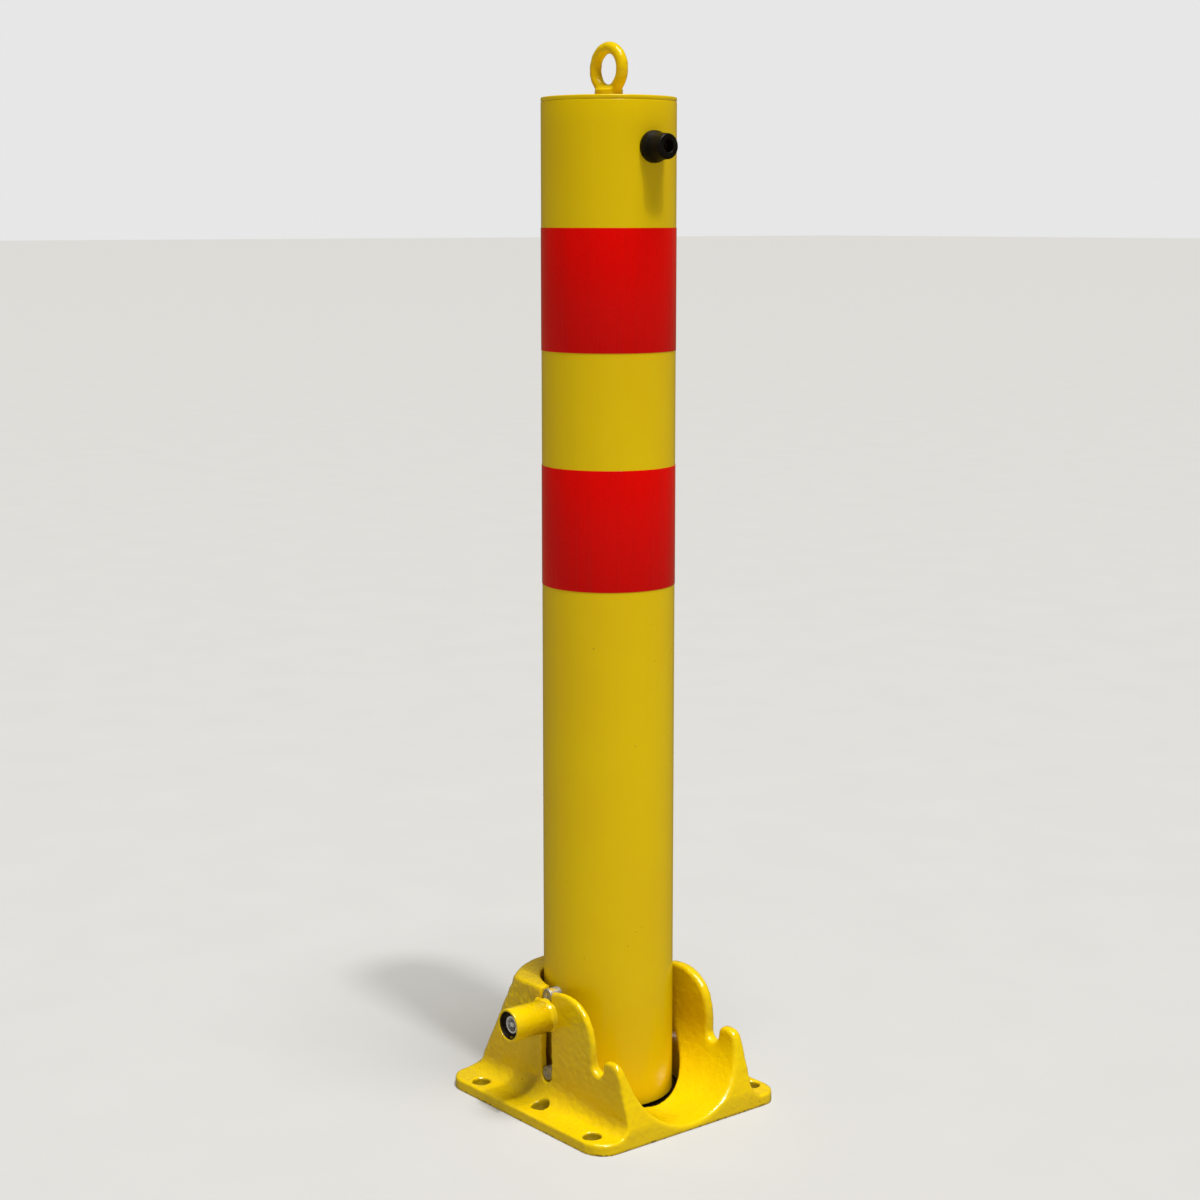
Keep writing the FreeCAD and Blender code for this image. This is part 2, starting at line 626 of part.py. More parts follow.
base_casting()
lock_tube()
lock_tube_weld()
lock_housing()
lock_grub_screw()
lock_spring()
lock_barrel()
lock_bolt()
lock_plug()
post_tube()
top_cap()
cap_weld()
eye_bolt()
eye_bolt_nut()
cross_pin("upper_cross_pin", "UpperPin", "cross_half_length", "pivot_height + pin_spacing")
cross_pin_welds()
reflective_band("upper_band", "UpperBand", "upper_band_bottom")
reflective_band("lower_band", "LowerBand", "lower_band_bottom")
rubber_stop()
stop_screw()
stop_insert()
cross_pin("pivot_pin", "PivotPin", "pivot_half_length", "pivot_height")
pivot_pin_clips()
check_document()
write_parts()
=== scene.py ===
"""Looks of a fold-down parking bollard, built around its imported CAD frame.

Shapes are worked out in millimetres from the post's axis and the ground. add_piece then moves them into
the row frame.
"""

import math

import bpy
import numpy as np
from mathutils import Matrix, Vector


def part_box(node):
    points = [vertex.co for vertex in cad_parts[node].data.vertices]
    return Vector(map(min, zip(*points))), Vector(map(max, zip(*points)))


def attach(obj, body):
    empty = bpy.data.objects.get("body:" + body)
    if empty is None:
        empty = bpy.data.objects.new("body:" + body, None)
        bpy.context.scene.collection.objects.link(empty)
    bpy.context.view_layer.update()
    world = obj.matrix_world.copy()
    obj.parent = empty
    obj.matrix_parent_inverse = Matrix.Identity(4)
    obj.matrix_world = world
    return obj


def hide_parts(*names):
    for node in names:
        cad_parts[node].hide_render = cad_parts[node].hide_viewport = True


MM = 0.001
ON_AXIS = 0.01  # the smallest radius of a turned line, in millimetres: too small to see, and never zero
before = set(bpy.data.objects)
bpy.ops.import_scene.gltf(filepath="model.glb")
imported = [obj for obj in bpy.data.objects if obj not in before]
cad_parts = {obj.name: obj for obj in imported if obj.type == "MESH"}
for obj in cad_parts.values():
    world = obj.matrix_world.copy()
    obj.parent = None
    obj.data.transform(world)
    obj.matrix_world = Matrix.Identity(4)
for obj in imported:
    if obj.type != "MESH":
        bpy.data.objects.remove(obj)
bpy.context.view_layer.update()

tube_low, tube_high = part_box("post_tube")
POST_AXIS_X = 0.5 * (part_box("top_cap")[0].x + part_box("top_cap")[1].x)
POST_RADIUS = tube_high.y / MM
POST_FOOT = tube_low.z / MM
POST_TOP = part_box("top_cap")[1].z / MM

# Sizes that shapes and finishes share, in millimetres from the post's axis and the ground.
SOCKET_RADIUS = 50.0
# The next size is the height of a thin floor left across the socket's foot, which is coloured near black
# as painted shade.
SHADE_WEB = 2.6
HOLE_RADIUS = 6.0


# ---------------------------------------------------------------- camera, floor and light

CAMERA_PLACE = (1.1606, -0.9574, 0.6072)
CAMERA_YAW = 50.925
CAMERA_DOWN = 8.756
CAMERA_LENS = 67.40
CAMERA_SHIFT = (0.0007, -0.029)
FILL_TINT = (1.0, 0.88, 0.52)


def make_camera():
    data = bpy.data.cameras.new("photo_camera")
    data.sensor_width = 36
    data.lens = CAMERA_LENS
    data.shift_x, data.shift_y = CAMERA_SHIFT
    camera = bpy.data.objects.new("photo_camera", data)
    camera.location = CAMERA_PLACE
    camera.rotation_euler = (math.radians(90 - CAMERA_DOWN), 0, math.radians(CAMERA_YAW))
    bpy.context.scene.collection.objects.link(camera)
    bpy.context.scene.camera = camera


def soft_sun(name, azimuth, elevation, width, power):
    """Even light from one direction. Azimuth runs from +X towards +Y, and width is in degrees."""
    data = bpy.data.lights.new(name, "SUN")
    data.angle = math.radians(width)
    data.energy = power
    light = bpy.data.objects.new(name, data)
    light.rotation_euler = (math.radians(90 - elevation), 0, math.radians(azimuth + 90))
    bpy.context.scene.collection.objects.link(light)


def make_world(seen, lit):
    """A white surround to the camera, which lights the object with dimmer and warmer light."""
    world = bpy.data.worlds.new("studio")
    bpy.context.scene.world = world
    world.use_nodes = True
    nodes = world.node_tree.nodes
    links = world.node_tree.links
    shown = nodes["Background"]
    shown.inputs["Color"].default_value = (1, 1, 1, 1)
    shown.inputs["Strength"].default_value = seen
    light = nodes.new("ShaderNodeBackground")
    light.inputs["Color"].default_value = (*FILL_TINT, 1)
    light.inputs["Strength"].default_value = lit
    path = nodes.new("ShaderNodeLightPath")
    mix = nodes.new("ShaderNodeMixShader")
    links.new(path.outputs["Is Camera Ray"], mix.inputs[0])
    links.new(light.outputs[0], mix.inputs[1])
    links.new(shown.outputs[0], mix.inputs[2])
    links.new(mix.outputs[0], nodes["World Output"].inputs["Surface"])


# ---------------------------------------------------------------- materials


class Look:
    """A material's node tree, with short calls for the few nodes that the finishes use."""

    def __init__(self, name, rough, metal=0.0, coat=0.0, coat_rough=0.05, specular=0.5):
        self.material = bpy.data.materials.new(name)
        self.material.use_nodes = True
        self.tree = self.material.node_tree
        self.shader = self.tree.nodes["Principled BSDF"]
        self.shader.inputs["Metallic"].default_value = metal
        self.shader.inputs["Roughness"].default_value = rough
        self.shader.inputs["Coat Weight"].default_value = coat
        self.shader.inputs["Coat Roughness"].default_value = coat_rough
        self.shader.inputs["Specular IOR Level"].default_value = specular
        self.places = self.tree.nodes.new("ShaderNodeTexCoord").outputs["Object"]
        self.bumped = None

    def link(self, source, target):
        self.tree.links.new(source, target)

    def stretched(self, x, y, z):
        """The object's coordinates, stretched along an axis where the factor is under 1."""
        node = self.tree.nodes.new("ShaderNodeMapping")
        node.inputs["Scale"].default_value = (x, y, z)
        self.link(self.places, node.inputs["Vector"])
        return node.outputs["Vector"]

    def noise(self, size, detail=2.0, rough=0.5, where=None):
        """Noise whose features are about size millimetres across."""
        node = self.tree.nodes.new("ShaderNodeTexNoise")
        node.inputs["Scale"].default_value = 1 / (size * MM)
        node.inputs["Detail"].default_value = detail
        node.inputs["Roughness"].default_value = rough
        self.link(where or self.places, node.inputs["Vector"])
        return node.outputs["Fac"]

    def cells(self, size):
        """Distance from scattered points about size millimetres apart."""
        node = self.tree.nodes.new("ShaderNodeTexVoronoi")
        node.inputs["Scale"].default_value = 1 / (size * MM)
        self.link(self.places, node.inputs["Vector"])
        return node.outputs["Distance"]

    def ramp(self, value, low, high, low_out=0.0, high_out=1.0):
        """Maps value from low..high to low_out..high_out, smoothly and clamped."""
        node = self.tree.nodes.new("ShaderNodeMapRange")
        node.interpolation_type = "SMOOTHSTEP"
        node.inputs["From Min"].default_value = low
        node.inputs["From Max"].default_value = high
        node.inputs["To Min"].default_value = low_out
        node.inputs["To Max"].default_value = high_out
        self.link(value, node.inputs["Value"])
        return node.outputs["Result"]

    def maths(self, operation, a, b):
        """One maths node on two values, each of them a number or an output."""
        node = self.tree.nodes.new("ShaderNodeMath")
        node.operation = operation
        for socket, value in ((node.inputs[0], a), (node.inputs[1], b)):
            if isinstance(value, (int, float)):
                socket.default_value = value
            else:
                self.link(value, socket)
        return node.outputs[0]

    def times(self, a, b):
        """The product of two values."""
        return self.maths("MULTIPLY", a, b)

    def mix(self, share, a, b):
        """Colour a where share is 0 and colour b where it is 1."""
        node = self.tree.nodes.new("ShaderNodeMix")
        node.data_type = "RGBA"
        self.link(share, node.inputs[0])
        for socket, value in ((node.inputs[6], a), (node.inputs[7], b)):
            if isinstance(value, tuple):
                socket.default_value = (*value, 1)
            else:
                self.link(value, socket)
        return node.outputs[2]

    def axis(self, name):
        """One coordinate of the object's place, in metres."""
        node = self.tree.nodes.new("ShaderNodeSeparateXYZ")
        self.link(self.places, node.inputs[0])
        return node.outputs[name]

    def flat_distance(self, x, y):
        """Distance in plan from the point (x, y), in metres, mirrored into all four quarters."""
        squares = []
        for name, centre in (("X", x), ("Y", y)):
            folded = self.maths("ABSOLUTE", self.axis(name), 0.0)
            squares.append(self.maths("POWER", self.maths("SUBTRACT", folded, centre), 2.0))
        return self.maths("POWER", self.maths("ADD", *squares), 0.5)

    def colour(self, value):
        self.link(value, self.shader.inputs["Base Color"])

    def roughness(self, value):
        self.link(value, self.shader.inputs["Roughness"])

    def metal(self, value):
        self.link(value, self.shader.inputs["Metallic"])

    def bump(self, height, depth):
        """Adds relief, depth millimetres from the lowest to the highest value."""
        node = self.tree.nodes.new("ShaderNodeBump")
        node.inputs["Distance"].default_value = depth * MM
        self.link(height, node.inputs["Height"])
        if self.bumped:
            self.link(self.bumped, node.inputs["Normal"])
        self.bumped = node.outputs["Normal"]
        self.link(self.bumped, self.shader.inputs["Normal"])
        self.link(self.bumped, self.shader.inputs["Coat Normal"])


YELLOW = (0.75, 0.520, 0.0004)
YELLOW_DEEP = (0.735, 0.490, 0.0004)
YELLOW_DIRTY = (0.34, 0.20, 0.004)
BROWN = (0.10, 0.045, 0.008)
# Painted shade for the bolt holes' walls.
HOLE_SHADE = (0.10, 0.065, 0.004)
# Painted shade for the thin floor across the socket's foot.
SOCKET_SHADE = (0.004, 0.003, 0.002)
PAINT_SMEAR = (0.55, 0.36, 0.02)

# Row-frame centres, in metres, of a corner hole and a middle hole, whose walls get painted shade.
# flat_distance mirrors them to the rest.
SHADED_HOLES = ((0.062, 0.0715), (0.0, 0.067))


def cast_paint():
    """Thick gloss paint over a sand casting: lumps, pits, chips along the foot, painted shade down the
    bolt holes' walls, and painted near-black shade on the thin floor in the socket.
    """
    look = Look("cast_paint", 0.34, specular=0.10, coat=1.0, coat_rough=0.07)
    broad = look.noise(38, detail=3)
    lumpy = look.noise(3.4, detail=3, rough=0.55)
    pits = look.cells(5.5)
    fine = look.noise(1.1, detail=2)
    yellow = look.mix(look.ramp(broad, 0.38, 0.68), YELLOW, YELLOW_DEEP)
    dirt = look.ramp(look.noise(2.6, detail=4, rough=0.7), 0.62, 0.80)
    yellow = look.mix(look.times(dirt, 0.22), yellow, YELLOW_DIRTY)
    specks = look.ramp(look.cells(7.0), 0.085, 0.055)
    patches = look.ramp(look.noise(9), 0.56, 0.62)
    yellow = look.mix(look.times(specks, patches), yellow, BROWN)
    height = look.axis("Z")
    low = look.ramp(height, 2.2 * MM, 0.3 * MM)
    chips = look.ramp(look.noise(3.4, detail=4, rough=0.65), 0.50, 0.62)
    yellow = look.mix(look.times(low, chips), yellow, BROWN)
    in_flange = look.ramp(height, 13 * MM, 10 * MM)
    # Painted shade down the bolt holes' walls inside the flange, where shadow falls.
    for x, y in SHADED_HOLES:
        bore = look.ramp(look.flat_distance(x, y), (HOLE_RADIUS + 0.8) * MM, HOLE_RADIUS * MM)
        yellow = look.mix(look.times(look.times(bore, in_flange), 0.55), yellow, HOLE_SHADE)
    # Painted shade: the thin floor across the socket's foot is coloured near black, as if in deep shadow.
    on_shade_web = look.ramp(height, (SHADE_WEB + 1.6) * MM, (SHADE_WEB + 0.8) * MM)
    from_post = look.flat_distance(-POST_AXIS_X, 0)
    in_socket = look.ramp(from_post, (SOCKET_RADIUS + 0.8) * MM, (SOCKET_RADIUS - 0.5) * MM)
    look.colour(look.mix(look.times(on_shade_web, in_socket), yellow, SOCKET_SHADE))
    look.roughness(look.ramp(lumpy, 0.3, 0.7, 0.24, 0.40))
    upper = look.ramp(height, 50 * MM, 64 * MM)
    behind_slot = look.ramp(look.axis("X"), -15 * MM, -21 * MM)
    sand = look.noise(1.9, detail=3, rough=0.6)
    look.bump(look.times(sand, look.times(upper, behind_slot)), 0.55)
    look.bump(lumpy, 0.34)
    look.bump(look.ramp(pits, 0.0, 0.30), 0.14)
    look.bump(fine, 0.08)
    return look.material


def post_paint():
    """Sprayed gloss paint on smooth tube: orange peel, faint upright runs, a few nibs and specks."""
    look = Look("post_paint", 0.34, specular=0.08, coat=0.40, coat_rough=0.10)
    broad = look.noise(60, detail=3)
    peel = look.noise(1.6, detail=2)
    runs = look.noise(9, detail=2, where=look.stretched(1, 1, 0.06))
    nibs = look.ramp(look.cells(13), 0.075, 0.02)
    nibs = look.times(nibs, look.ramp(look.noise(22), 0.50, 0.56))
    yellow = look.mix(look.ramp(broad, 0.35, 0.70), YELLOW, YELLOW_DEEP)
    yellow = look.mix(look.ramp(runs, 0.45, 0.75, 0.0, 0.35), yellow, YELLOW_DEEP)
    specks = look.ramp(look.cells(19), 0.026, 0.016)
    yellow = look.mix(look.times(specks, 0.8), yellow, BROWN)
    look.colour(yellow)
    look.roughness(look.ramp(broad, 0.3, 0.7, 0.26, 0.36))
    look.bump(peel, 0.035)
    look.bump(runs, 0.06)
    look.bump(nibs, 0.45)
    return look.material


def red_film():
    """Retroreflective red film: a clear face over a fine cell pattern, with faint upright streaks."""
    look = Look("red_film", 0.28, specular=0.06, coat=0.20, coat_rough=0.06)
    streaks = look.noise(5, detail=3, where=look.stretched(1, 1, 0.03))
    cells = look.cells(1.3)
    red = look.mix(look.ramp(streaks, 0.40, 0.72), (0.66, 0.0008, 0.0004), (0.60, 0.0006, 0.0003))
    red = look.mix(look.ramp(cells, 0.30, 0.60, 0.0, 0.22), red, (0.80, 0.004, 0.002))
    look.colour(red)
    look.roughness(look.ramp(streaks, 0.3, 0.7, 0.18, 0.30))
    look.bump(streaks, 0.05)
    look.bump(cells, 0.01)
    return look.material


def plated(name, tint, rough, paint_share):
    """Plated steel, cloudy and finely marked. A larger paint_share smears more yellow paint on it."""
    look = Look(name, rough)
    cloud = look.noise(3.2, detail=4, rough=0.6)
    fine = look.noise(0.5, detail=3)
    metal = look.mix(look.ramp(cloud, 0.35, 0.65), tint, tuple(0.62 * c for c in tint))
    smear = look.ramp(look.noise(6, detail=3), 0.60 - paint_share, 0.64 - paint_share)
    look.colour(look.mix(smear, metal, PAINT_SMEAR))
    look.metal(look.ramp(smear, 0.0, 1.0, 0.6, 0.0))
    look.roughness(look.ramp(cloud, 0.3, 0.7, rough, rough + 0.2))
    look.bump(fine, 0.03)
    look.bump(cloud, 0.06)
    return look.material


def chrome():
    """Polished lock face, cloudy with wear."""
    look = Look("lock_chrome", 0.18, metal=0.15)
    cloud = look.noise(1.5, detail=3)
    look.colour(look.mix(look.ramp(cloud, 0.35, 0.65), (0.90, 0.90, 0.91), (0.62, 0.62, 0.64)))
    look.roughness(look.ramp(cloud, 0.3, 0.7, 0.12, 0.30))
    look.bump(look.noise(0.4), 0.015)
    return look.material


def dark_metal_and_shade():
    """Dark bronzed metal inside the lock. The key plug's face in the ring slot and the stop's screw take
    it too, as painted shade.
    """
    look = Look("lock_shell", 0.42, metal=0.3)
    cloud = look.noise(2.2, detail=3)
    look.colour(look.mix(look.ramp(cloud, 0.35, 0.65), (0.050, 0.026, 0.010), (0.016, 0.010, 0.006)))
    look.roughness(look.ramp(cloud, 0.3, 0.7, 0.30, 0.55))
    look.bump(look.noise(0.8, detail=3), 0.04)
    return look.material


def rubber():
    """Moulded black rubber with a dusty bloom and a fine grain."""
    look = Look("rubber_black", 0.38, specular=0.14)
    bloom = look.noise(7, detail=4, rough=0.6)
    look.colour(look.mix(look.ramp(bloom, 0.40, 0.70), (0.0035, 0.0026, 0.0018), (0.010, 0.008, 0.006)))
    look.roughness(look.ramp(bloom, 0.3, 0.7, 0.36, 0.52))
    look.bump(look.noise(0.7, detail=3), 0.05)
    look.bump(look.noise(4, detail=2), 0.06)
    return look.material


def floor_paint():
    """Even pale grey with a slight unevenness."""
    look = Look("floor_paint", 0.62, specular=0.2)
    cloud = look.noise(90, detail=3)
    look.colour(look.mix(cloud, (0.50, 0.50, 0.50), (0.53, 0.53, 0.53)))
    look.bump(look.noise(6, detail=3), 0.05)
    return look.material


MATERIALS = {
    "casting_paint": cast_paint(),
    "post_paint": post_paint(),
    "red_film": red_film(),
    "zinc": plated("zinc", (0.50, 0.48, 0.42), 0.34, 0.0),
    "lock_chrome": chrome(),
    "lock_shell": dark_metal_and_shade(),
    "rubber_black": rubber(),
    "spring_steel": plated("spring_steel", (0.40, 0.40, 0.41), 0.30, -0.3),
}


# ---------------------------------------------------------------- meshes


def add_piece(name, points, faces, body, slot, stands_for):
    """A smooth mesh from points in post millimetres, riding on a body and standing for CAD nodes."""
    points = np.asarray(points, float) * MM
    points[:, 0] += POST_AXIS_X
    mesh = bpy.data.meshes.new(name)
    mesh.from_pydata(points.tolist(), [], [tuple(f) for f in faces])
    mesh.validate()
    mesh.polygons.foreach_set("use_smooth", np.ones(len(mesh.polygons), bool))
    mesh.materials.append(MATERIALS[slot])
    piece = bpy.data.objects.new(name, mesh)
    bpy.context.scene.collection.objects.link(piece)
    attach(piece, body)
    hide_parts(*stands_for)


def rounded(corners, steps=5):
    """A line through corners (along, radius, rounding), each one eased into a curve of that size."""
    line = []
    for i, (a, r, size) in enumerate(corners):
        here = np.array((a, r), float)
        if size <= 0 or i in (0, len(corners) - 1):
            line.append(here)
            continue
        back = np.array(corners[i - 1][:2], float) - here
        on = np.array(corners[i + 1][:2], float) - here
        start = here + back / np.linalg.norm(back) * size
        end = here + on / np.linalg.norm(on) * size
        for t in np.linspace(0, 1, steps):
            line.append((1 - t) ** 2 * start + 2 * t * (1 - t) * here + t * t * end)
    return np.array(line)


def turned(line, axis, centre, segments=96, ripple=None):
    """Turns a line of (along, radius) round an axis through centre, and joins the line's two ends.

    Gives points and quads. ripple(angle, along) adds to the radius."""
    angles = np.arange(segments) * 2 * math.pi / segments
    along = np.repeat(line[:, :1], segments, axis=1)
    radius = np.repeat(line[:, 1:], segments, axis=1)
    turn = np.repeat(angles[None, :], len(line), axis=0)
    if ripple:
        radius = radius + ripple(turn, along)
    side = radius * np.cos(turn)
    up = radius * np.sin(turn)
    order = {"+Z": (side, up, along), "+X": (along, side, up), "-Y": (side, -along, up)}[axis]
    points = np.stack(order, axis=-1).reshape(-1, 3) + np.array(centre, float)
    rows = len(line)
    i, j = np.meshgrid(np.arange(rows), np.arange(segments), indexing="ij")
    here = i * segments
    after = (i + 1) % rows * segments
    next_j = (j + 1) % segments
    quads = np.stack((here + j, here + next_j, after + next_j, after + j), -1)
    return points, quads.reshape(-1, 4)


def mesh_from_field(field, low, step):
    """Surface nets: a point in each cell that the surface crosses, a face across each crossed edge."""
    inside = field < 0
    size = np.array(field.shape) - 1
    corners = [(a, b, c) for a in (0, 1) for b in (0, 1) for c in (0, 1)]

    def part(values, corner):
        return values[tuple(slice(corner[n], corner[n] + size[n]) for n in range(3))]

    count = sum(part(inside, c).astype(np.int8) for c in corners)
    crossed = (count > 0) & (count < 8)
    cell = np.argwhere(crossed)
    number = np.full(crossed.shape, -1, np.int64)
    number[crossed] = np.arange(len(cell))
    total = np.zeros((len(cell), 3))
    hits = np.zeros(len(cell))
    for axis in range(3):
        for corner in corners:
            if corner[axis]:
                continue
            far = tuple(v + (n == axis) for n, v in enumerate(corner))
            a = part(field, corner)[crossed]
            b = part(field, far)[crossed]
            cut = (a < 0) != (b < 0)
            share = a[cut] / (a[cut] - b[cut])
            point = np.tile(np.array(corner, float), (len(share), 1))
            point[:, axis] += share
            total[cut] += point
            hits[cut] += 1
    points = (cell + total / hits[:, None]) * step + np.array(low, float)
    faces = []
    for axis in range(3):
        u, v = (axis + 1) % 3, (axis + 2) % 3
        spans = [slice(1, size[n]) for n in range(3)]
        spans[axis] = slice(0, size[axis])
        ahead = list(spans)
        ahead[axis] = slice(1, size[axis] + 1)
        a = inside[tuple(spans)]
        b = inside[tuple(ahead)]
        for wanted, order in (((a & ~b), (0, 1, 2, 3)), ((b & ~a), (3, 2, 1, 0))):
            at = np.argwhere(wanted)
            at[:, u] += 1
            at[:, v] += 1
            step_u = np.eye(3, dtype=int)[u]
            step_v = np.eye(3, dtype=int)[v]
            ring = [at - step_u - step_v, at - step_v, at, at - step_u]
            quad = [number[tuple(r.T)] for r in ring]
            faces.append(np.stack([quad[n] for n in order], axis=-1))
    return points, np.concatenate(faces)


def join(a, b, size):
    """Union of two distance fields with a concave fillet."""
    inner = np.sqrt(np.maximum(size - a, 0) ** 2 + np.maximum(size - b, 0) ** 2)
    return np.maximum(np.minimum(a, b), size) - inner


def keep(a, b, size):
    """Intersection of two distance fields with a rounded edge."""
    outer = np.sqrt(np.maximum(size + a, 0) ** 2 + np.maximum(size + b, 0) ** 2)
    return np.minimum(np.maximum(a, b), -size) + outer


def outline_distance(x, y, corners):
    """Signed distance to a closed outline, less than 0 inside."""
    corners = np.asarray(corners, float)
    nearest = np.full(np.broadcast(x, y).shape, 1e9)
    inside = np.zeros(nearest.shape, bool)
    for p, q in zip(corners, np.roll(corners, -1, axis=0)):
        run = q - p
        t = np.clip(((x - p[0]) * run[0] + (y - p[1]) * run[1]) / (run @ run), 0, 1)
        nearest = np.minimum(nearest, np.hypot(x - p[0] - t * run[0], y - p[1] - t * run[1]))
        if p[1] != q[1]:
            spans = (y < p[1]) != (y < q[1])
            inside ^= spans & (x < p[0] + run[0] * (y - p[1]) / run[1])
    return np.where(inside, -nearest, nearest)


def lumps(shape, step, fine, coarse, seed):
    """Noise with features between two sizes in millimetres, scaled to a spread of 1."""
    noise = np.random.RandomState(seed).standard_normal(shape)
    waves = [np.fft.fftfreq(n, step) for n in shape[:2]]
    waves.append(np.fft.rfftfreq(shape[2], step))
    square = sum(w * w for w in np.meshgrid(*waves, indexing="ij"))
    band = np.exp(-2 * (math.pi * fine) ** 2 * square) - np.exp(-2 * (math.pi * coarse) ** 2 * square)
    out = np.fft.irfftn(np.fft.rfftn(noise) * band, s=shape)
    return out / out.std()


def smoothstep(low, high, value):
    """Rises smoothly from 0 at low to 1 at high, or falls where low is the larger."""
    t = np.clip((value - low) / (high - low), 0, 1)
    return t * t * (3 - 2 * t)


def grid(low, high, step):
    """Shape and coordinates of a regular grid of points between two corners."""
    shape = tuple(int(n) for n in np.ceil((high - low) / step) + 1)
    lines = [low[n] + step * np.arange(shape[n]) for n in range(3)]
    return shape, lines[0][:, None, None], lines[1][None, :, None], lines[2][None, None, :]


# ---------------------------------------------------------------- the casting

WALL_OUTER = 55.5
WALL_INNER = 48.0
NEAR_WALL_THINNER = 1.7
CRADLE_AXIS_Z = 52.5
RIM_TOP = 86.0
SOCKET_LIP = 2.7
SHELL_FOOT, SHELL_LEAN, SHELL_BEND, SHELL_POWER = 79.0, 0.222, 24.7, 2.43
BEND_START, BEND_HEIGHT = 20, 66
FLANGE_REAR, FLANGE_FRONT, FLANGE_SIDE = -82.5, 91.5, 82.0
FLANGE_CORNER = 18.0
FLANGE_THICK = 8.0
FLANGE_DRAFT = 0.04
FRONT_FOOT, FRONT_RISE = 94.7, 3
FILLET, FILLET_EXTRA, FILLET_MIDDLE, FILLET_SPREAD = 10.0, 5.0, 5, 38
HUMP_X, HUMP_Z, HUMP_SIZE, HUMP_POWER = 18.5, 55.0, 32.0, 2.2
NOTCH_X, NOTCH_Z, NOTCH_RADIUS = 55.85, 46.4, 5.35
HORN = [
    (61.2, 48.4), (61.8, 50.8), (63.1, 52.6), (65.1, 53.7), (67.8, 54.1), (70.8, 54.0),
    (73.8, 53.2), (76.4, 51.6), (78.6, 49.2), (80.6, 46.4), (85.0, 43.0), (112, -20),
]
SLOT_HALF, SLOT_FOOT = 5.4, 25.1
SLOT_REACH = 30
HOLES = [(x, side * y) for side in (-1, 1) for x, y in ((70.5, 71.5), (-53.5, 71.5), (8.5, 67.0))]
SHELL_ROUND, WALL_ROUND, CRADLE_ROUND, SOCKET_ROUND = 5.0, 2.6, 3.0, 1.3
PLAN_ROUND, FRONT_ROUND, CREASE_ROUND, FOOT_ROUND = 1.9, 2.0, 0.8, 0.3
SLOT_ROUND, HOLE_ROUND = 1.0, 0.9


def wall_outline():
    """Side view of the walls: flat rim behind the slot, hump, notch for the pin, and horn."""
    points = [(-130, -20), (-130, RIM_TOP), (0, RIM_TOP)]  # starts well outside the casting
    for x in np.linspace(2, HUMP_X + HUMP_SIZE - 0.4, 24):
        drop = abs((x - HUMP_X) / HUMP_SIZE) ** HUMP_POWER
        points.append((x, HUMP_Z + HUMP_SIZE * (1 - drop) ** (1 / HUMP_POWER)))
    points.append((HUMP_X + HUMP_SIZE, HUMP_Z))
    for angle in np.linspace(math.pi, 2 * math.pi, 13):
        points.append((NOTCH_X + NOTCH_RADIUS * math.cos(angle), NOTCH_Z + NOTCH_RADIUS * math.sin(angle)))
    return points + HORN


def plate_distance(x, y, reach, width, corner):
    """Distance field of a plate's quarter outline, with a rounded corner at (reach, width)."""
    over_x = x - reach + corner
    over_y = y - width + corner
    outside = np.hypot(np.maximum(over_x, 0), np.maximum(over_y, 0))
    return outside + np.minimum(np.maximum(over_x, over_y), 0) - corner


def casting_field(x, y, z):
    """Distance field of the base casting: flange, socket shell, side walls, cradle, slots, holes, and a
    thin floor across the socket's foot that carries painted shade.
    """
    side = np.abs(y)
    bend = SHELL_BEND * np.clip((z - BEND_START) / BEND_HEIGHT, 0, 1)
    share = np.minimum(side / WALL_OUTER, 1.2)
    rear = SHELL_FOOT - (z - 4) * SHELL_LEAN - bend * share**SHELL_POWER
    slope = bend * SHELL_POWER * share ** (SHELL_POWER - 1) / WALL_OUTER
    shell = (-x - rear) / np.sqrt(1 + slope * slope + SHELL_LEAN**2)
    block = keep(shell, side - WALL_OUTER, SHELL_ROUND)
    block = keep(block, outline_distance(x, z, wall_outline()), WALL_ROUND)
    fillet = FILLET + FILLET_EXTRA * np.exp(-(((x - FILLET_MIDDLE) / FILLET_SPREAD) ** 2))
    body = join(block, z - FLANGE_THICK, fillet)
    middle = 0.5 * (FLANGE_REAR + FLANGE_FRONT)
    plan = plate_distance(np.abs(x - middle), side, FLANGE_FRONT - middle, FLANGE_SIDE, FLANGE_CORNER)
    body = keep(body, plan, PLAN_ROUND)
    strip = x + FLANGE_DRAFT * z - FLANGE_FRONT
    face = (x + z / FRONT_RISE - FRONT_FOOT) / math.hypot(1, 1 / FRONT_RISE)
    body = keep(body, keep(strip, face, CREASE_ROUND), FRONT_ROUND)
    body = keep(body, -z, FOOT_ROUND)
    inner = WALL_INNER + NEAR_WALL_THINNER * smoothstep(40, 56, z) * smoothstep(0, -10, y)
    pipe = np.where(z < CRADLE_AXIS_Z, np.hypot(y, z - CRADLE_AXIS_Z), side) - inner
    body = keep(body, -np.maximum(pipe, -x), CRADLE_ROUND)
    lip = SOCKET_LIP * smoothstep(64, 78, z) * smoothstep(25, -15, x)
    socket = SOCKET_RADIUS - lip - np.hypot(x, y)
    # The socket's cut stops a little above the ground, leaving a thin floor there only to carry painted
    # shade.
    body = keep(body, np.minimum(socket, z - SHADE_WEB), SOCKET_ROUND)
    slot = np.where(z < SLOT_FOOT, np.hypot(x, z - SLOT_FOOT), np.abs(x)) - SLOT_HALF
    body = keep(body, -np.maximum(slot, SLOT_REACH - side), SLOT_ROUND)
    for hole_x, hole_y in HOLES:
        body = keep(body, HOLE_RADIUS - np.hypot(x - hole_x, y - hole_y), HOLE_ROUND)
    return body


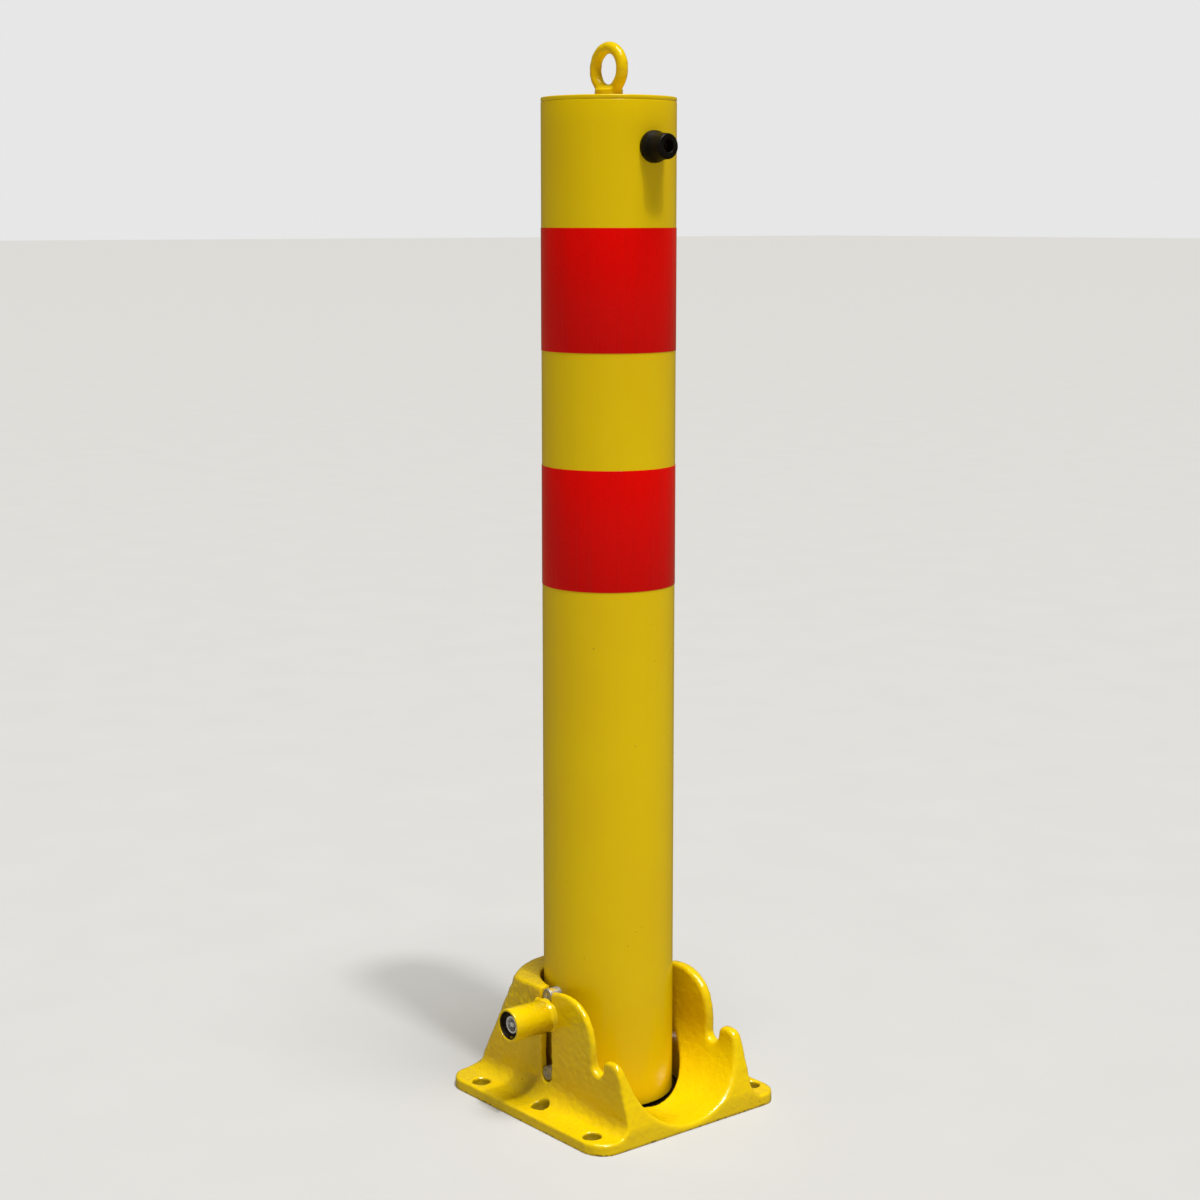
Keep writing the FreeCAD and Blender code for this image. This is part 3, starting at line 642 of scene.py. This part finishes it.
def casting_grain(x, y, z, shape, step):
    """How far the surface sinks, in millimetres: sand-cast lumps, roughest under the rear rim."""
    small = lumps(shape, step, 1.0, 2.6, seed=11)
    large = lumps(shape, step, 4.0, 12.0, seed=12)
    side = np.abs(y)
    in_cradle = smoothstep(WALL_INNER + 2.5, WALL_INNER, side) * smoothstep(0, 6, x)
    rough = 0.11 - 0.05 * in_cradle
    under_rim = smoothstep(-6, -14, x) * smoothstep(52, 66, z) * smoothstep(85, 82, z)
    rough = rough + 0.20 * under_rim * smoothstep(SOCKET_RADIUS, SOCKET_RADIUS + 3, np.hypot(x, y))
    near_ground = smoothstep(9, 6, z)
    rough = rough * (1 - 0.45 * near_ground)
    sunk = rough * np.clip(1.0 + small, 0, 4) + 0.06 * np.clip(1.0 + large, 0, 4)
    return sunk * smoothstep(0.5, 3, z)


def make_casting():
    """The base casting, meshed from its distance field and its grain."""
    step = 1.1
    low = np.array((-86.0, -85.0, -2.0))
    high = np.array((95.0, 85.0, 90.0))
    shape, x, y, z = grid(low, high, step)
    field = casting_field(x, y, z) + casting_grain(x, y, z, shape, step)
    points, faces = mesh_from_field(field, low, step)
    add_piece("casting", points, faces, "base", "casting_paint", ["base_casting"])


# ---------------------------------------------------------------- lock sleeve and pins

LOCK_Z = 67.5
LOCK_CENTRE = (0, 0, LOCK_Z)
SLEEVE_ROOT, SLEEVE_MOUTH = 54.4, 88.0
SLEEVE_RADIUS, SLEEVE_BORE = 11.5, 9.7
LINER_REAR, LINER_FACE, LINER_MOUTH = 57.0, 84.3, 87.3
RING_OUTER, RING_INNER, RING_FACE = 6.05, 4.7, 84.9
RING_SLOT_FLOOR = 78.5
UPPER_PIN_Z, UPPER_PIN_RADIUS = 81.0, 4.85
FOOT_PIN_Z, FOOT_PIN_RADIUS = 25.5, 4.95
PIN_HALF = 54.3


def weld_ripple(turn, along):
    """Uneven bead, higher in places, and the same all along it."""
    return 0.60 * np.sin(turn + 5.4) + 0.38 * np.sin(3 * turn + 0.7) + 0.16 * np.sin(7 * turn + 2.1)


def make_lock_sleeve():
    """Tube for the lock and the weld at its root, thin where the pins pass above and below it."""
    line = rounded([
        (SLEEVE_ROOT, SLEEVE_BORE + 0.05, 0), (SLEEVE_ROOT, SLEEVE_RADIUS, 0),
        (SLEEVE_MOUTH, SLEEVE_RADIUS, 0.8), (SLEEVE_MOUTH, SLEEVE_BORE, 0.6),
        (80, SLEEVE_BORE, 0), (SLEEVE_ROOT + 0.1, SLEEVE_BORE, 0),
    ])
    points, faces = turned(line, "-Y", LOCK_CENTRE)
    add_piece("lock_sleeve", points, faces, "base", "casting_paint", ["lock_tube"])
    bead = [
        (SLEEVE_ROOT, 11.0), (SLEEVE_ROOT, 13.9), (55.4, 13.8), (56.1, 13.2), (56.8, 12.5), (57.6, 12.0),
        (58.5, 11.7), (59.6, 11.52), (59.6, 11.0),
    ]
    points, faces = turned(np.array(bead), "-Y", LOCK_CENTRE, ripple=weld_ripple)
    radius = np.hypot(points[:, 0], points[:, 2] - LOCK_Z)
    upright = np.abs(points[:, 2] - LOCK_Z) / radius
    thin = 1 - 0.9 * smoothstep(0.66, 0.93, upright)
    scale = (SLEEVE_RADIUS + (radius - SLEEVE_RADIUS) * thin) / radius
    points[:, 0] *= scale
    points[:, 2] = LOCK_Z + (points[:, 2] - LOCK_Z) * scale
    add_piece("sleeve_weld", points, faces, "base", "casting_paint", ["lock_tube_weld"])


def make_lock_face():
    """Round-key lock set back in its sleeve: dark liner, bright ring, ring slot whose floor is coloured
    dark as painted shade, and centre post.
    """
    bore = RING_OUTER + 0.15
    edge = SLEEVE_BORE - 0.05
    liner = rounded([
        (LINER_REAR, bore + 0.05, 0), (LINER_REAR, edge, 0), (LINER_MOUTH, edge, 0.1),
        (LINER_MOUTH, 9.1, 0.2), (LINER_FACE, 8.9, 0.5), (LINER_FACE, bore, 0.2),
        (LINER_REAR + 0.1, bore, 0),
    ])
    points, faces = turned(liner, "-Y", LOCK_CENTRE)
    add_piece("lock_liner", points, faces, "base", "lock_shell", ["lock_housing"])
    ring = rounded([
        (69.0, RING_INNER + 0.05, 0), (69.0, RING_OUTER, 0), (RING_FACE, RING_OUTER, 0.5),
        (RING_FACE, RING_INNER, 0.3), (69.1, RING_INNER, 0),
    ])
    ring_points, ring_faces = turned(ring, "-Y", LOCK_CENTRE)
    foot = RING_SLOT_FLOOR + 0.1
    centre = rounded([(foot, ON_AXIS, 0), (foot, 1.9, 0), (84.6, 1.9, 0.6), (84.6, ON_AXIS, 0)])
    points, faces = turned(centre, "-Y", LOCK_CENTRE)
    points = np.concatenate([ring_points, points])
    faces = list(ring_faces) + [tuple(n + len(ring_points) for n in face) for face in faces]
    add_piece("lock_ring", points, faces, "barrel", "lock_chrome", ["lock_barrel"])
    # The key plug's face is the ring slot's floor, coloured dark as painted shade in the slot.
    core = rounded([
        (70.7, ON_AXIS, 0), (70.7, 4.6, 0), (RING_SLOT_FLOOR, 4.6, 0.2), (RING_SLOT_FLOOR, ON_AXIS, 0),
    ])
    points, faces = turned(core, "-Y", LOCK_CENTRE)
    add_piece("lock_core", points, faces, "key_plug", "lock_shell", ["lock_plug"])


def make_pin(name, height, radius, body, node):
    """A pin through both walls along Y, with eased ends."""
    line = rounded([
        (-PIN_HALF, ON_AXIS, 0), (-PIN_HALF, radius, 0.7), (-40, radius, 0), (0, radius, 0),
        (40, radius, 0), (PIN_HALF, radius, 0.7), (PIN_HALF, ON_AXIS, 0),
    ])
    points, faces = turned(line, "-Y", (0, 0, height), segments=48)
    add_piece(name, points, faces, body, "zinc", [node])


# ---------------------------------------------------------------- post, cap, bands, eye and stop

POST_WALL = 3.0


def make_post():
    """The hollow tube, in rings that let the paint's shading run evenly."""
    tube_top = tube_high.z / MM
    inner = POST_RADIUS - POST_WALL
    corners = [(POST_FOOT, inner, 0), (POST_FOOT, POST_RADIUS, 1.0)]
    for height in np.arange(20, tube_top - 5, 18):
        corners.append((height, POST_RADIUS, 0))
    corners += [(tube_top, POST_RADIUS, 0.5), (tube_top, inner, 0)]
    points, faces = turned(rounded(corners), "+Z", (0, 0, 0), segments=160)
    add_piece("post_shell", points, faces, "post", "post_paint", ["post_tube"])


def make_cap():
    """Lid with a soft outer edge, and the thin uneven line of weld and paint just under it."""
    seam = POST_TOP - 3.0
    lid = rounded([
        (seam - 0.2, ON_AXIS, 0), (seam - 0.2, POST_RADIUS - 0.6, 0.3), (seam + 0.7, POST_RADIUS, 0.5),
        (POST_TOP, POST_RADIUS, 0.8), (POST_TOP, 30, 0), (POST_TOP, ON_AXIS, 0),
    ])

    def uneven(turn, along):
        wave = 0.10 * np.sin(5 * turn + 1.0) + 0.08 * np.sin(13 * turn) - 0.16
        return wave * smoothstep(seam + 1.2, seam + 0.2, along)

    points, faces = turned(lid, "+Z", (0, 0, 0), segments=160, ripple=uneven)
    add_piece("cap", points, faces, "post", "post_paint", ["top_cap", "cap_weld"])


def make_band(node):
    """A band of film standing slightly proud of the tube, as tall as its CAD node."""
    low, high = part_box(node)
    foot, top = low.z / MM, high.z / MM
    outer = high.y / MM
    line = rounded([
        (foot, POST_RADIUS - 0.2, 0), (foot, outer, 0.12), (0.5 * (foot + top), outer, 0),
        (top, outer, 0.12), (top, POST_RADIUS - 0.2, 0),
    ], steps=3)
    points, faces = turned(line, "+Z", (0, 0, 0), segments=160)
    add_piece(node + "_film", points, faces, "post", "red_film", [node])


EYE_CENTRE_Z = 704.8
EYE_RING, EYE_WIRE = 13.8, 4.0
COLLAR_RADIUS, COLLAR_TOP = 9.5, 692.0
SHANK_RADIUS, SHANK_MIDDLE, SHANK_HALF = 4.0, 679, 8.6


def make_eye():
    """The ring eye on its collar, and the shank that runs down through the lid."""
    step = 0.45
    low = np.array((-20.0, -12.0, 668.0))
    high = np.array((20.0, 12.0, 726.0))
    shape, x, y, z = grid(low, high, step)
    ring = np.hypot(np.hypot(x, z - EYE_CENTRE_Z) - EYE_RING, y) - EYE_WIRE
    across = np.hypot(x, y)
    collar_ends = np.abs(z - 0.5 * (COLLAR_TOP + POST_TOP)) - 0.5 * (COLLAR_TOP - POST_TOP)
    collar = keep(across - COLLAR_RADIUS, collar_ends, 0.8)
    shank = keep(across - SHANK_RADIUS, np.abs(z - SHANK_MIDDLE) - SHANK_HALF, 0.5)
    eye = np.minimum(join(ring, collar, 2.2), shank)
    eye = eye + 0.07 * np.clip(1.5 + lumps(shape, step, 1.2, 3.5, seed=21), 0, 4)
    points, faces = mesh_from_field(eye, low, step)
    add_piece("lifting_eye", points, faces, "post", "post_paint", ["eye_bolt"])


def make_stop():
    """The rubber stop, stepped down towards its tip, with a recess for the screw."""
    low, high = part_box("rubber_stop")
    height = 0.5 * (low.z + high.z) / MM
    start = (low.x - POST_AXIS_X) / MM
    tip = (high.x - POST_AXIS_X) / MM
    line = rounded([
        (start, ON_AXIS, 0), (start, 10.2, 0), (46.2, 10.6, 0.8), (49.0, 10.3, 1.2), (52.4, 9.0, 1.5),
        (56.5, 8.5, 1.0), (tip, 8.25, 1.6), (tip, 4.15, 0.7), (tip - 9.0, 4.15, 0),
        (tip - 9.0, ON_AXIS, 0),
    ], steps=6)
    points, faces = turned(line, "+X", (0, 0, height), segments=72)
    add_piece("stop_buffer", points, faces, "post", "rubber_black", ["rubber_stop"])


# ---------------------------------------------------------------- the scene

KEPT_NODES = {
    "casting_paint": ["lock_grub_screw"],
    "zinc": ["eye_bolt_nut", "cross_pin_welds", "pivot_pin_clips", "stop_insert"],
    # stop_screw takes the dark lock metal as painted shade, since it sits deep in the stop's recess.
    "lock_shell": ["lock_bolt", "stop_screw"],
    "spring_steel": ["lock_spring"],
}

FLOOR_SIZE = 120.0


def make_floor():
    """Plain pale floor, left out of reflections so that the paint keeps its depth of colour."""
    mesh = bpy.data.meshes.new("floor")
    half = 0.5 * FLOOR_SIZE
    corners = [(-half, -half, 0), (half, -half, 0), (half, half, 0), (-half, half, 0)]
    mesh.from_pydata(corners, [], [(0, 1, 2, 3)])
    mesh.materials.append(floor_paint())
    floor = bpy.data.objects.new("floor", mesh)
    bpy.context.scene.collection.objects.link(floor)
    floor.visible_glossy = False


make_camera()
make_world(seen=0.80, lit=0.16)
soft_sun("key", azimuth=-12, elevation=76, width=30, power=3.3)
soft_sun("sparkle", azimuth=-6, elevation=67, width=4, power=1.2)
make_floor()
bpy.context.scene.view_settings.view_transform = "Standard"

make_casting()
make_lock_sleeve()
make_lock_face()
make_pin("upper_pin", UPPER_PIN_Z, UPPER_PIN_RADIUS, "post", "upper_cross_pin")
make_pin("foot_pin", FOOT_PIN_Z, FOOT_PIN_RADIUS, "pivot", "pivot_pin")
make_post()
make_cap()
make_band("upper_band")
make_band("lower_band")
make_eye()
make_stop()
for slot, nodes in KEPT_NODES.items():
    for node in nodes:
        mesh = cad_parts[node].data
        mesh.materials.clear()
        mesh.materials.append(MATERIALS[slot])
